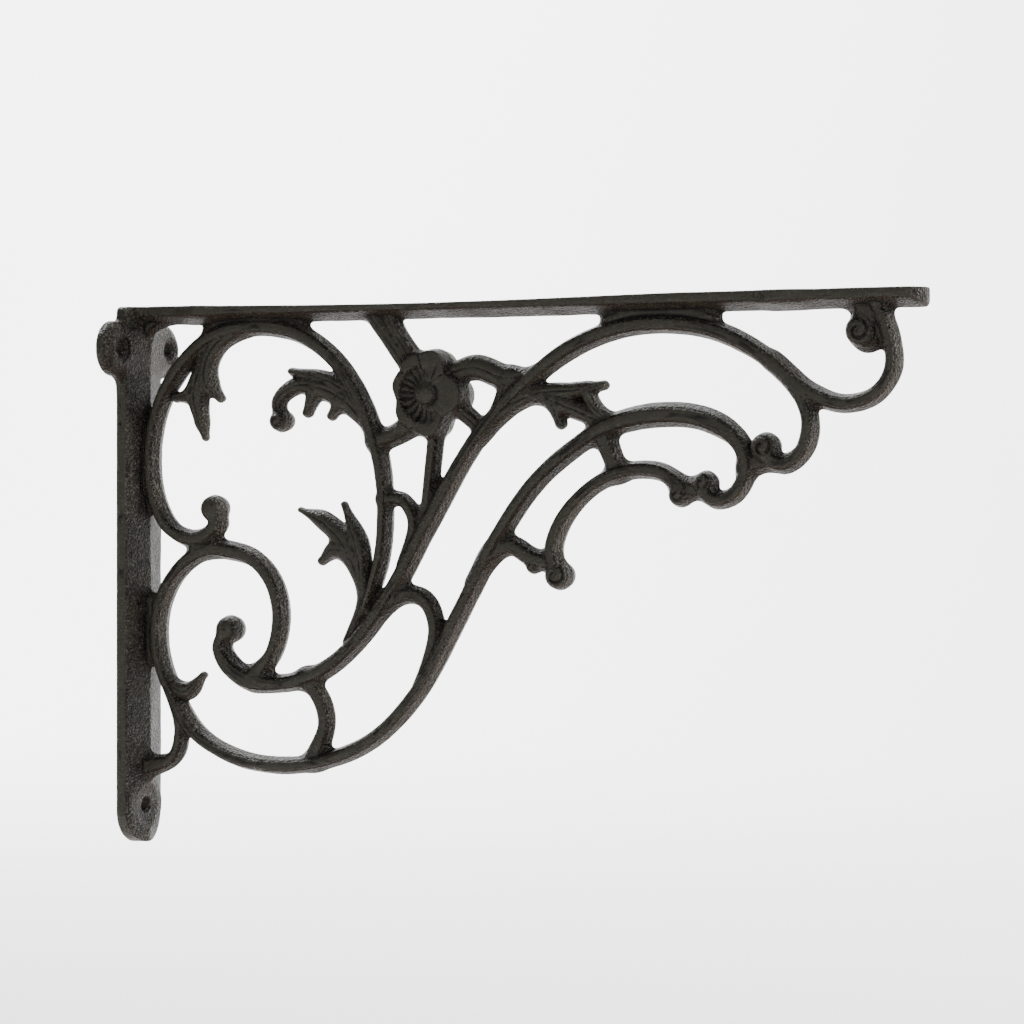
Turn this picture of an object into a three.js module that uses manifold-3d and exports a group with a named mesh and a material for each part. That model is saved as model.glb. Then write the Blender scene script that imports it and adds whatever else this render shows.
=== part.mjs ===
// Ornamental cast-iron shelf bracket: wall plate, shelf arm and an openwork scroll web, cast in one pour.
// Millimetres, +Z up. X runs out from the wall along the arm, Y along the wall.
// The origin is on the wall plate's flat back, midway between the two ear screws.

import * as THREE from 'three';
import { mergeVertices } from 'three/addons/utils/BufferGeometryUtils.js';
import Module from 'manifold-3d';

const wasm = await Module();
wasm.setup();

// Overall sizes
const ARM_LENGTH = 299;
const PLATE_HEIGHT = 190;

// Wall plate
const PLATE_WIDTH = 23.8;
const PLATE_EDGE = 3.9;
const PLATE_RIDGE = 6.8;
const PLATE_CORNER_RADIUS = 2.5;
const FOOT_PAD_THICKNESS = 5;
const FOOT_PAD_INSET = 1;
const FOOT_PAD_SLOPE = 1.5;
const FOOT_SCREW_RISE = 13;

// Screw ears, one on each side of the wall plate
const EAR_SCREW_SPACING = 31.4;
const EAR_DROP = 15;
const EAR_RADIUS = 9.5;
const EAR_THICKNESS = 5.4;
const EAR_RIM = 2.2;
const EAR_SHOULDER = 4.1;
const EAR_SHOULDER_SHARE = 0.86;
const EAR_CROWN_SHARE = 0.55;
const EAR_NECK_ABOVE = 2.8;
const EAR_NECK_BELOW = 4.6;
const EAR_NECK_THICKNESS = 2.8;

// Shelf arm, flat on top and ridged below, with a boss at each screw
const ARM_WIDTH = 14.6;
const ARM_EDGE = 3.4;
const ARM_RIDGE = 6.5;
const ARM_BOSS_RADIUS = 9.8;
const ARM_BOSS_THICKNESS = 5.2;
const ARM_BOSS_RIM = 3.6;
const ARM_BOSS_CROWN_SHARE = 0.6;
const WALL_BOSS_FROM_WALL = 31;
const TIP_BOSS_FROM_TIP = 48.5;

// Screw holes
const SCREW_HOLE = 5;
const COUNTERSINK = 9.4;
const COUNTERSINK_DEPTH = 2.2;
const HOLE_REACH = 16;

// Half depths of the web's bars, from the casting's middle plane out to the face
const STRAND_DEPTH = 4.7;
const RING_DEPTH = 4.4;
const LINK_DEPTH = 3.7;
const LEAF_DEPTH = 4;
const FILL_DEPTH = 3;
const EYE_DEPTH = 5.3;

// A bar's face is narrower than its middle, so that the pattern draws from the sand
const FACE_SHARE = 0.46;
// A bar is drawn in straight steps that stay within this distance of its true curve
const MAX_BOW = 0.3;
const CAP_POINTS = 6;

// Buttons that end the scrolls
const BUTTON_FACE_SHARE = 0.62;
const BUTTON_SHOULDER_SHARE = 0.4;
const BUTTON_SIDES = 12;
const TIP_BUTTON = 5.5;
const LARGE_BUTTON = 5;
const SMALL_BUTTON = 4.1;
const TINY_BUTTON = 3;

// Flower
const FLOWER_FROM_WALL = 120.3;
const FLOWER_DROP = 32;
const FLOWER_WIDTH = 28.4;
const FLOWER_HEIGHT = 31.4;
const PETAL_DEPTH = 5.6;
const PETAL_DISH = 1.6;
const PETAL_RIM_SHARE = 0.8;
const HEART_RADIUS = 4.2;
const HEART_DEPTH = 7;

// Petals as [turn from the flower's right in degrees, radius]
const PETALS = [[78, 6.2], [123, 5.4], [165, 5.6], [218, 6.4], [272, 6.2], [356, 7.6]];

const ROUND_SIDES = 16;
const CORNER_STEPS = 8;
const NECK_STEPS = 4;
const THROUGH = 1;

// The web is drawn on this grid: [distance from the wall, drop below the shelf face, half width].
// The grid is stretched to the arm's length and the plate's height; the half widths aren't.
const GRID_LENGTH = 299;
const GRID_HEIGHT = 190;
const SHELF_Z = EAR_DROP;

function placeX(x) {
  return (x * ARM_LENGTH) / GRID_LENGTH;
}

function placeZ(drop) {
  return SHELF_Z - (drop * PLATE_HEIGHT) / GRID_HEIGHT;
}

function solid(geometry) {
  const bare = geometry.index ? geometry.toNonIndexed() : geometry;
  bare.deleteAttribute('normal');
  bare.deleteAttribute('uv');
  const merged = mergeVertices(bare, 1e-4);
  return new wasm.Manifold(new wasm.Mesh({
    numProp: 3,
    vertProperties: new Float32Array(merged.attributes.position.array),
    triVerts: new Uint32Array(merged.index.array),
  }));
}

function union(solids) {
  let all = solids[0];
  for (const next of solids.slice(1)) {
    all = all.add(next);
  }
  return all;
}

// A round body from a profile of [radius, height] pairs, turned so that its axis runs along X, Y or Z.
function turned(profile, axis, sides = ROUND_SIDES) {
  const points = profile.map(([radius, height]) => new THREE.Vector2(radius, height));
  const body = new THREE.LatheGeometry(points, sides);
  if (axis === 'x') {
    body.rotateZ(-Math.PI / 2);
  }
  if (axis === 'z') {
    body.rotateX(Math.PI / 2);
  }
  return body;
}

// A bar of the web: six-sided, widest at the middle plane, swept along a smooth curve through its points.
function bar(halfDepth, points, thinsOut = false) {
  const path = new THREE.CatmullRomCurve3(
    points.map(([x, drop]) => new THREE.Vector3(placeX(x), 0, placeZ(drop))),
    false,
    'centripetal',
  );
  const widest = Math.max(...points.map((point) => point[2]));
  const spans = points.length - 1;
  const stops = [];
  for (let span = 0; span < spans; span += 1) {
    const [from, to] = [span / spans, (span + 1) / spans];
    const chord = path.getPoint(from).distanceTo(path.getPoint(to));
    const bow = (chord * path.getTangent(from).angleTo(path.getTangent(to))) / 8;
    const steps = Math.max(1, Math.ceil(Math.sqrt(bow / MAX_BOW)));
    for (let step = 0; step < steps; step += 1) {
      stops.push((span + step / steps) / spans);
    }
  }
  stops.push(1);
  const stations = stops.length - 1;
  const vertices = [];
  for (const t of stops) {
    const span = Math.min(Math.floor(t * spans), spans - 1);
    const part = THREE.MathUtils.smoothstep(t * spans - span, 0, 1);
    const half = THREE.MathUtils.lerp(points[span][2], points[span + 1][2], part);
    const centre = path.getPoint(t);
    const along = path.getTangent(t);
    const depth = thinsOut ? halfDepth * Math.sqrt(half / widest) : halfDepth;
    const face = half * FACE_SHARE;
    const section = [[half, 0], [face, depth], [-face, depth], [-half, 0], [-face, -depth], [face, -depth]];
    for (const [across, y] of section) {
      vertices.push(centre.x - along.z * across, y, centre.z + along.x * across);
    }
  }
  const faces = [];
  for (let i = 0; i < stations; i += 1) {
    for (let k = 0; k < CAP_POINTS; k += 1) {
      const next = (k + 1) % CAP_POINTS;
      const a = i * CAP_POINTS + k;
      const b = i * CAP_POINTS + next;
      const c = a + CAP_POINTS;
      const d = b + CAP_POINTS;
      faces.push(a, c, b, b, c, d);
    }
  }
  const last = stations * CAP_POINTS;
  for (let k = 1; k < CAP_POINTS - 1; k += 1) {
    faces.push(0, k, k + 1);
    faces.push(last, last + k + 1, last + k);
  }
  const geometry = new THREE.BufferGeometry();
  geometry.setAttribute('position', new THREE.Float32BufferAttribute(vertices, 3));
  geometry.setIndex(faces);
  return solid(geometry);
}

// A domed button that ends a scroll, the same on both faces.
function button(x, drop, radius, halfDepth = EYE_DEPTH) {
  const face = radius * BUTTON_FACE_SHARE;
  const shoulder = halfDepth * BUTTON_SHOULDER_SHARE;
  const body = turned([
    [0, -halfDepth], [face, -halfDepth], [radius, -shoulder], [radius, shoulder], [face, halfDepth],
    [0, halfDepth],
  ], 'y', BUTTON_SIDES);
  body.translate(placeX(x), 0, placeZ(drop));
  return solid(body);
}

// A prism along one axis with a roof-shaped section: as high as edge at half the width, as high as ridge mid-way.
function roof(edge, ridge, width, length) {
  const fall = (ridge - edge) / (width / 2);
  const reach = width * 2;
  const section = new THREE.Shape([
    new THREE.Vector2(-reach, -reach),
    new THREE.Vector2(reach, -reach),
    new THREE.Vector2(reach, ridge - fall * reach),
    new THREE.Vector2(0, ridge),
    new THREE.Vector2(-reach, ridge - fall * reach),
  ]);
  return new THREE.ExtrudeGeometry(section, { depth: length, bevelEnabled: false });
}

// The wall plate: rounded below, flat behind, with a low ridge down its front.
function wallPlate() {
  const half = PLATE_WIDTH / 2;
  const bottom = SHELF_Z - PLATE_HEIGHT;
  const outline = new THREE.Shape();
  const cornerZ = SHELF_Z - PLATE_CORNER_RADIUS;
  const cornerY = half - PLATE_CORNER_RADIUS;
  outline.absarc(-cornerY, cornerZ, PLATE_CORNER_RADIUS, Math.PI / 2, Math.PI, false);
  outline.absarc(0, bottom + half, half, Math.PI, Math.PI * 2, false);
  outline.absarc(cornerY, cornerZ, PLATE_CORNER_RADIUS, 0, Math.PI / 2, false);
  const slab = new THREE.ExtrudeGeometry(outline, {
    depth: PLATE_RIDGE, bevelEnabled: false, curveSegments: CORNER_STEPS,
  });
  slab.applyMatrix4(new THREE.Matrix4().makeBasis(
    new THREE.Vector3(0, 1, 0), new THREE.Vector3(0, 0, 1), new THREE.Vector3(1, 0, 0),
  ));
  const front = roof(PLATE_EDGE, PLATE_RIDGE, PLATE_WIDTH, PLATE_HEIGHT + 2 * THROUGH);
  front.applyMatrix4(new THREE.Matrix4().makeBasis(
    new THREE.Vector3(0, 1, 0), new THREE.Vector3(1, 0, 0), new THREE.Vector3(0, 0, -1),
  ));
  front.translate(0, 0, SHELF_Z + THROUGH);
  const padCentre = bottom + FOOT_SCREW_RISE;
  const padRadius = half - FOOT_PAD_INSET;
  const pad = turned([
    [0, 0], [padRadius, 0], [padRadius, PLATE_EDGE], [padRadius - FOOT_PAD_SLOPE, FOOT_PAD_THICKNESS],
    [0, FOOT_PAD_THICKNESS],
  ], 'x');
  pad.translate(0, 0, padCentre);
  return solid(slab).intersect(solid(front)).add(solid(pad));
}

function ear(side) {
  const dome = turned([
    [0, 0], [EAR_RADIUS, 0], [EAR_RADIUS, EAR_RIM], [EAR_RADIUS * EAR_SHOULDER_SHARE, EAR_SHOULDER],
    [EAR_RADIUS * EAR_CROWN_SHARE, EAR_THICKNESS], [0, EAR_THICKNESS],
  ], 'x');
  dome.translate(0, (side * EAR_SCREW_SPACING) / 2, 0);
  return solid(dome);
}

// The necks of both ears: each ear flows into the plate's side in a hollow curve, above and below.
function earNecks() {
  const side = PLATE_WIDTH / 2;
  const centre = EAR_SCREW_SPACING / 2;
  const outline = new THREE.Shape();
  outline.moveTo(centre, EAR_RADIUS);
  outline.quadraticCurveTo(side, EAR_RADIUS, side, EAR_RADIUS + EAR_NECK_ABOVE);
  outline.lineTo(-side, EAR_RADIUS + EAR_NECK_ABOVE);
  outline.quadraticCurveTo(-side, EAR_RADIUS, -centre, EAR_RADIUS);
  outline.lineTo(-centre, -EAR_RADIUS);
  outline.quadraticCurveTo(-side, -EAR_RADIUS, -side, -EAR_RADIUS - EAR_NECK_BELOW);
  outline.lineTo(side, -EAR_RADIUS - EAR_NECK_BELOW);
  outline.quadraticCurveTo(side, -EAR_RADIUS, centre, -EAR_RADIUS);
  const necks = new THREE.ExtrudeGeometry(outline, {
    depth: EAR_NECK_THICKNESS, bevelEnabled: false, curveSegments: NECK_STEPS,
  });
  necks.applyMatrix4(new THREE.Matrix4().makeBasis(
    new THREE.Vector3(0, 1, 0), new THREE.Vector3(0, 0, 1), new THREE.Vector3(1, 0, 0),
  ));
  return solid(necks);
}

// The shelf arm: flat on top, rounded at its tip, ridged along its underside.
function shelfArm() {
  const half = ARM_WIDTH / 2;
  const outline = new THREE.Shape();
  outline.moveTo(0, -half);
  outline.lineTo(ARM_LENGTH - half, -half);
  outline.absarc(ARM_LENGTH - half, 0, half, -Math.PI / 2, Math.PI / 2, false);
  outline.lineTo(0, half);
  const slab = new THREE.ExtrudeGeometry(outline, {
    depth: ARM_RIDGE, bevelEnabled: false, curveSegments: CORNER_STEPS,
  });
  slab.translate(0, 0, SHELF_Z - ARM_RIDGE);
  const under = roof(ARM_EDGE, ARM_RIDGE, ARM_WIDTH, ARM_LENGTH + 2 * THROUGH);
  under.applyMatrix4(new THREE.Matrix4().makeBasis(
    new THREE.Vector3(0, 1, 0), new THREE.Vector3(0, 0, -1), new THREE.Vector3(-1, 0, 0),
  ));
  under.translate(ARM_LENGTH + THROUGH, 0, SHELF_Z);
  return solid(slab).intersect(solid(under));
}

function armBoss(x) {
  const dome = turned([
    [0, -ARM_BOSS_THICKNESS], [ARM_BOSS_RADIUS * ARM_BOSS_CROWN_SHARE, -ARM_BOSS_THICKNESS],
    [ARM_BOSS_RADIUS, -ARM_BOSS_RIM], [ARM_BOSS_RADIUS, 0], [0, 0],
  ], 'z');
  dome.translate(x, 0, SHELF_Z);
  return solid(dome);
}

// Countersunk screw hole: its wide end is at height 0 and opens upward.
function screwHole(axis) {
  return turned([
    [0, -HOLE_REACH], [SCREW_HOLE / 2, -HOLE_REACH], [SCREW_HOLE / 2, -COUNTERSINK_DEPTH], [COUNTERSINK / 2, 0],
    [COUNTERSINK / 2, HOLE_REACH], [0, HOLE_REACH],
  ], axis);
}

function wallHole(y, z, thickness) {
  const cutter = screwHole('x');
  cutter.translate(thickness, y, z);
  return solid(cutter);
}

function armHole(x) {
  const cutter = screwHole('z');
  cutter.rotateX(Math.PI);
  cutter.translate(x, 0, SHELF_Z - ARM_BOSS_THICKNESS);
  return solid(cutter);
}

// The big ring under the arm, from its button round to where it flows into the main strand.
function bigRing() {
  return [
    bar(RING_DEPTH, [
      [33.6, 71.6, 3.4], [35, 77, 3.9], [30.6, 81, 3.5], [24, 82, 3.3], [15.8, 78.4, 3.1], [10.2, 69.4, 3],
      [7.8, 55, 2.6], [10.8, 37, 2.9], [19.4, 22.4, 3.5], [32, 11.8, 3.5], [50, 7.8, 3.5], [67.5, 10.2, 3.4],
      [82, 19.4, 3.4], [92.6, 34, 3.5], [99.6, 52, 3.1], [102, 70, 2.8], [100.6, 88, 2.7], [95, 106, 1.8],
    ]),
    button(33.8, 71.4, LARGE_BUTTON, RING_DEPTH),
  ];
}

// The small ring: from where it leaves the big ring, over, and down into the main strand's volute.
function smallRing() {
  return [
    bar(RING_DEPTH, [
      [27, 85, 2.8], [39, 86, 3.6], [50, 89, 3.3], [57.8, 97.4, 3.2], [60.6, 109, 3.1], [58, 121, 2.9],
      [51, 130, 4.2],
    ]),
  ];
}

// The lower strand: small ring's left side, bottom arc, second arch and its eye.
function lowerStrand() {
  return [
    bar(STRAND_DEPTH, [
      [34, 85.4, 2.8], [24.6, 89, 3.3], [15.8, 97.6, 2.9], [11, 110, 2.7], [11.6, 124, 2.7], [17.2, 137.4, 2.9],
      [27, 150.8, 3.2], [44, 159, 3.2], [63, 160.9, 3.2], [82, 157.8, 3.1], [99, 149.8, 3.1], [115, 134, 3.1],
      [131.6, 106, 3.2], [146, 80.6, 3.3], [160, 62.2, 3.4], [174.6, 50.6, 3.5], [188, 43.3, 4], [206, 40, 4.3],
      [222.6, 41.8, 4.3], [233.8, 48.9, 3.6], [236.8, 58, 3.1], [232.6, 66.2, 3.2], [226, 68.2, 3.2],
      [222, 65.4, 3],
    ]),
    button(222, 62.6, SMALL_BUTTON),
  ];
}

// The main strand: volute inside the small ring, the long S up to the arm, and the upper arch with its eye.
function mainStrand() {
  return [
    bar(STRAND_DEPTH, [
      [39, 114, 3], [36.8, 120.6, 3.5], [40.8, 127, 4.3], [48.6, 131.3, 4.4], [62, 132.2, 3.4],
      [76, 128.4, 3.4], [90, 118.4, 3.5], [105, 99.8, 3.5], [120, 75, 3.3], [137.6, 47.6, 3.3], [154, 31, 3.4],
      [172, 18.1, 3.5], [190, 11.4, 3.4], [207, 9.9, 3.4], [225, 12.5, 3.5], [241, 20, 3.4], [253, 30.2, 3.1],
      [258.6, 42, 3], [256.6, 52, 3.2], [250, 56.4, 3.6], [244.4, 54.4, 3.6],
    ]),
    button(40.1, 113.8, LARGE_BUTTON),
    button(243.3, 50.9, LARGE_BUTTON),
  ];
}

// The end scroll under the arm's tip, branching from the upper arch.
function endScroll() {
  return [
    bar(STRAND_DEPTH, [
      [246, 23, 2.6], [258.6, 33, 3.5], [271, 37, 3.2], [281.4, 34.2, 3.1], [287.2, 26, 3.1],
      [286.4, 15, 3], [282, 4, 3.2],
    ]),
    bar(LINK_DEPTH, [[278.8, 15, 6], [278.8, 3, 6.2]]),
    button(276.6, 13.6, TIP_BUTTON),
  ];
}

// The third strand, free-standing below the second arch, a button at each end.
function thirdStrand() {
  return [
    bar(STRAND_DEPTH, [
      [168, 93, 3], [166.4, 84, 3], [171.6, 72.8, 3], [181.8, 63.4, 3], [194, 58.6, 3.1], [206, 59, 3.3],
      [214, 64, 3.8],
    ]),
    button(168.6, 93.6, LARGE_BUTTON),
    button(213, 66.6, SMALL_BUTTON),
    bar(LINK_DEPTH, [[136, 96, 2.4], [142.6, 87.2, 3.8], [150.6, 83.8, 3.7], [158, 87.4, 3.6], [166, 89.6, 3.2]]),
    button(159, 90.4, TINY_BUTTON, LINK_DEPTH),
    bar(LINK_DEPTH, [[184, 44, 4.2], [186.8, 51, 4], [190.2, 58.6, 3.7]]),
    bar(LINK_DEPTH, [[213, 65, 3.4], [222, 64.4, 3.4]]),
    bar(LINK_DEPTH, [[236, 57.6, 3.6], [243, 55, 3.8]]),
  ];
}

// Short bars between ring, strands, arm and wall plate.
function links() {
  return [
    bar(LINK_DEPTH, [[70.6, 130, 3.4], [77, 138, 3.5], [78.8, 146, 3.3], [74.4, 158, 4.2]]),
    bar(LINK_DEPTH, [
      [101, 106.4, 2.2], [110.6, 100.8, 3.5], [117.8, 102.6, 3.5], [121.8, 112, 3.1], [115.8, 131, 1.8],
    ]),
    bar(LINK_DEPTH, [[101, 68, 2.4], [109, 68.4, 2.9], [113.6, 75.4, 2.8], [109.6, 90, 2.4]]),
    bar(LINK_DEPTH, [[97.6, 48, 3.6], [105, 46.4, 4], [114, 41.6, 4.8]]),
    bar(LINK_DEPTH, [[122.2, 40, 3.4], [120.8, 54, 3], [118, 76, 2.8]]),
    bar(FILL_DEPTH, [[35, 7.6, 2.4], [46, 5, 3.4], [56, 4.8, 3.4], [68, 8, 2.4]]),
    bar(FILL_DEPTH, [[186.6, 8.2, 2.3], [198, 5.8, 2.8], [212, 5.8, 2.8], [224.6, 8.2, 2.3]]),
    bar(FILL_DEPTH, [[3, 13.6, 3], [6, 7.2, 3.6], [13, 3, 3]]),
    bar(FILL_DEPTH, [[6, 42, 2.4], [5, 56, 2.8], [6.8, 70, 2.4]]),
    bar(FILL_DEPTH, [[7.6, 104, 2.6], [6.4, 114, 3], [7.8, 124, 2.6]]),
    bar(LINK_DEPTH, [[16.4, 136, 2.4], [20, 150, 2.6], [17, 159.6, 2.8], [4, 163.6, 4.4]]),
  ];
}

// Leaves: each lobe is a bar that thins to its tip.
function leaves() {
  const hanging = [
    [[31.6, 9.4, 3], [29.8, 19, 3.1], [26.8, 30.6, 4.6], [28.2, 40, 3.1], [29.8, 46.6, 1.2]],
    [[46, 9, 2.6], [36, 13.4, 3.6], [31.6, 20, 3.5], [31.4, 27.2, 3.8], [36, 32.8, 1.6]],
    [[26.6, 25.4, 2.4], [24, 30.8, 3.1], [18, 32.4, 1.8]],
  ];
  const curled = [
    [[97, 44, 3], [88, 34.4, 4.8], [77, 29.4, 4.4], [67.2, 28.6, 3.4], [60.2, 33.6, 3.1], [60.4, 40, 2.8]],
    [[91, 32.4, 3], [78, 26, 2.6], [65, 23.6, 1.5]],
    [[74.8, 30, 3.2], [71.2, 38.4, 1.3]],
    [[86, 33, 3.6], [80.6, 39.6, 1.3]],
  ];
  const rising = [
    [[87, 117, 1.8], [93.6, 102, 2.8], [88, 85.2, 4.9], [78.8, 76.2, 3.9], [68.4, 71.8, 1.2]],
    [[94.2, 100, 2.6], [92, 84, 3.6], [85.8, 69.8, 1.2]],
    [[90, 87, 3.8], [82.8, 85.4, 3.7], [77.2, 89.4, 1.8]],
  ];
  const between = [
    [[139, 48, 2], [150, 37.4, 3], [162, 32.4, 3.2], [175, 31.6, 2.8], [185.4, 29.8, 0.9]],
    [[158, 32, 3.2], [170, 36, 3.9], [188, 43.6, 2.8]],
    [[167, 35, 3.4], [169.2, 43.4, 1.2]],
    [[179, 31.8, 2.4], [181.6, 36.6, 2.3], [187, 41, 2]],
  ];
  const toArm = [
    [[96.4, 3, 3.4], [102.4, 11, 3.3], [110.6, 21, 3.9]],
    [[103.4, 3, 3], [107.4, 11, 2.8], [113.6, 20, 3.2]],
  ];
  const toStrand = [
    [[126, 26, 4], [137.6, 23.4, 4.6], [149.6, 27.2, 4.6], [160.6, 25.4, 2.4]],
    [[127, 34, 3.4], [140, 44.4, 3.2]],
    [[150.4, 27, 3.8], [146.6, 37, 3.6]],
  ];
  const thorn = [
    [[15.6, 133.4, 2.6], [22.8, 135.8, 3.4], [29, 130.2, 1.4]],
  ];
  const lobes = [...hanging, ...curled, ...rising, ...between, ...toArm, ...toStrand, ...thorn];
  return [...lobes.map((points) => bar(LEAF_DEPTH, points, true)), button(61, 40.8, SMALL_BUTTON)];
}

// The flower: uneven dished petals round a domed heart, the same on both faces.
function flower() {
  const centreX = placeX(FLOWER_FROM_WALL);
  const centreZ = placeZ(FLOWER_DROP);
  const bodies = PETALS.map(([turn, radius]) => {
    const petal = turned([
      [0, PETAL_DISH - PETAL_DEPTH], [radius * PETAL_RIM_SHARE, -PETAL_DEPTH], [radius, 0],
      [radius * PETAL_RIM_SHARE, PETAL_DEPTH], [0, PETAL_DEPTH - PETAL_DISH],
    ], 'y', BUTTON_SIDES);
    const angle = THREE.MathUtils.degToRad(turn);
    petal.translate(
      centreX + Math.cos(angle) * (FLOWER_WIDTH / 2 - radius),
      0,
      centreZ + Math.sin(angle) * (FLOWER_HEIGHT / 2 - radius),
    );
    return solid(petal);
  });
  return [...bodies, button(FLOWER_FROM_WALL, FLOWER_DROP, HEART_RADIUS, HEART_DEPTH)];
}

function bracket() {
  const web = union([
    ...bigRing(), ...smallRing(), ...lowerStrand(), ...mainStrand(), ...endScroll(), ...thirdStrand(),
    ...links(), ...leaves(), ...flower(),
  ]);
  const tipScrewX = ARM_LENGTH - TIP_BOSS_FROM_TIP;
  const plates = union([
    wallPlate(), ear(-1), ear(1), earNecks(), shelfArm(), armBoss(WALL_BOSS_FROM_WALL), armBoss(tipScrewX),
  ]);
  const footScrewZ = SHELF_Z - PLATE_HEIGHT + FOOT_SCREW_RISE;
  const holes = union([
    wallHole(-EAR_SCREW_SPACING / 2, 0, EAR_THICKNESS),
    wallHole(EAR_SCREW_SPACING / 2, 0, EAR_THICKNESS),
    wallHole(0, footScrewZ, FOOT_PAD_THICKNESS),
    armHole(WALL_BOSS_FROM_WALL),
    armHole(tipScrewX),
  ]);
  return plates.add(web).subtract(holes);
}

function toGeometry(body) {
  const { vertProperties, triVerts } = body.getMesh();
  const geometry = new THREE.BufferGeometry();
  geometry.setAttribute('position', new THREE.BufferAttribute(new Float32Array(vertProperties), 3));
  geometry.setIndex(new THREE.BufferAttribute(new Uint32Array(triVerts), 1));
  geometry.computeVertexNormals();
  return geometry;
}

const castIron = new THREE.MeshStandardMaterial({ color: 0x3b3834, roughness: 0.55, metalness: 0.6 });
const shelfBracket = new THREE.Mesh(toGeometry(bracket()), castIron);
shelfBracket.name = 'shelf_bracket';

const group = new THREE.Group();
group.add(shelfBracket);

export default group;
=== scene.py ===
# Ornamental cast-iron shelf bracket: the casting's finished surface, its iron and a plain studio.
# Distances are in millimetres until the mesh is made, and in metres after that.

import math

import bpy
import numpy as np
import openvdb
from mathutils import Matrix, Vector


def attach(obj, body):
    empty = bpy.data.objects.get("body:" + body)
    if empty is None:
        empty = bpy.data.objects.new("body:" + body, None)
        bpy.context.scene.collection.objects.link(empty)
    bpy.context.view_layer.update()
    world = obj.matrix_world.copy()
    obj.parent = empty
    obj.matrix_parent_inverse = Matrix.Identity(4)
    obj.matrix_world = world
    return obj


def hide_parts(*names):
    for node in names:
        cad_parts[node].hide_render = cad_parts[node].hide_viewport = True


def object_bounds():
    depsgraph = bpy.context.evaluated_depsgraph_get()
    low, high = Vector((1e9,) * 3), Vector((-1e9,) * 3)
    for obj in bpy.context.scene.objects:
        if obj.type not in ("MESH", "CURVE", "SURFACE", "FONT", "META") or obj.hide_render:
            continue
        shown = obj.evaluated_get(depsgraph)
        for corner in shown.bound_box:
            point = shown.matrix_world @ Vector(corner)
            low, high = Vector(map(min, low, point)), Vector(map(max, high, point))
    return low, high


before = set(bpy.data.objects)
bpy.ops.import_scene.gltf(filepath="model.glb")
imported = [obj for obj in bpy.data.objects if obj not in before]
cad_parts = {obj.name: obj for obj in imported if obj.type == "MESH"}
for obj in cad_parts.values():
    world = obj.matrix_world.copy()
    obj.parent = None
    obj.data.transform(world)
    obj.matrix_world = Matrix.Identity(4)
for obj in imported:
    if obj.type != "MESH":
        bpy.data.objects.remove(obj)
cad_low, cad_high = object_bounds()

MM = 0.001

# Overall sizes
ARM_LENGTH = 299.0
PLATE_HEIGHT = 190.0
SHELF_Z = 15.0

# Wall plate
PLATE_WIDTH = 23.8
PLATE_EDGE = 3.9
PLATE_RIDGE = 6.8
PLATE_CORNER = 2.5
PLATE_ROUND = 0.6
PLATE_JOIN = 0.1
FOOT_PAD_THICKNESS = 5.0
FOOT_PAD_RADIUS = 10.9
FOOT_PAD_ROUND = 1.4
FOOT_PAD_JOIN = 1.0
FOOT_SCREW_RISE = 13.0
FOOT_DISH_RADIUS = 5.0
FOOT_DISH_RISE = 0.16
FOOT_DISH_LEAD = 1.0
FOOT_HOLE_MOUTH = 3.1

# Screw ears
EAR_SCREW_SPACING = 31.4
EAR_RADIUS = 9.5
EAR_THICKNESS = 5.4
EAR_RIM = 1.9
EAR_ROUND = 0.9
EAR_NECK_THICKNESS = 2.8
EAR_NECK_FILLET = 6.0
EAR_TOP_FILLET = 1.8
EAR_NECK_ROUND = 1.0
EAR_NECK_JOIN = 0.8

# Shelf arm
ARM_WIDTH = 14.6
ARM_EDGE = 3.4
ARM_RIDGE = 6.5
ARM_UNDER_ROUND = 1.2
ARM_TOP_ROUND = 0.8
ARM_BOSS_RADIUS = 9.8
ARM_BOSS_THICKNESS = 5.2
ARM_BOSS_FILLET = 3.0
ARM_BOSS_FALL = 1.7
ARM_BOSS_ROUND = 1.0
WALL_BOSS_X = 31.0
TIP_BOSS_X = 250.5

# The arm's top dips a little along its inner two thirds
ARM_SAG = 1.2
ARM_SAG_START = 15
ARM_SAG_LENGTH = 200
ARM_SAG_POWER = 1.2

# Countersunk screw holes
HOLE_RADIUS = 2.5
COUNTERSINK_RADIUS = 4.3
COUNTERSINK_DEPTH = 2.2
RING_LINE = 0.5
HOLE_LEAD = 0.2
HOLE_ROUND = 0.25
HOLE_REACH = 7
WALL_HOLE_END = 12

# Half depths of the web's bars
STRAND_DEPTH = 4.7
RING_DEPTH = 4.4
LINK_DEPTH = 3.7
LEAF_DEPTH = 4.0
FILL_DEPTH = 3.0
WALL_FILL_DEPTH = 2.1

# Scroll buttons, and the line that curls in on them
TIP_BUTTON = 5.5
LARGE_BUTTON = 5.0
SMALL_BUTTON = 4.1
TINY_BUTTON = 3.0
BUTTON_DEPTH = 5.3
BUTTON_CROWN = 1.5
BUTTON_DRAFT = 0.22
BUTTON_ROUND = 1.6
BUTTON_FILLET = 1.2
CURL_START = 90
CURL_INNER = 0.2
CURL_GROWTH = 0.52
CURL_RADIUS = 0.6
CURL_SUNK = 0.1

# Section of a bar: a low crowned face, a fine line cut along each edge of it, and drafted sides
FACE_SHARE = 0.52
CROWN = 0.25
EDGE_ROUND = 0.3
LINE_RADIUS = 0.6
LINE_OUT = 0.25
LINE_SUNK = 0.25
LEAF_FACE = 0.6
LEAF_CROWN = 0.75
VEIN_RADIUS = 0.5
VEIN_OUT = 0.1
LEAST_HALF_WIDTH = 0.3

# Fillets where cast members meet
STRAND_FILLET = 2.8
LEAF_FILLET = 1.6
FACE_FILLET = 0.5
PLATE_FILLET = 2.8

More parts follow.
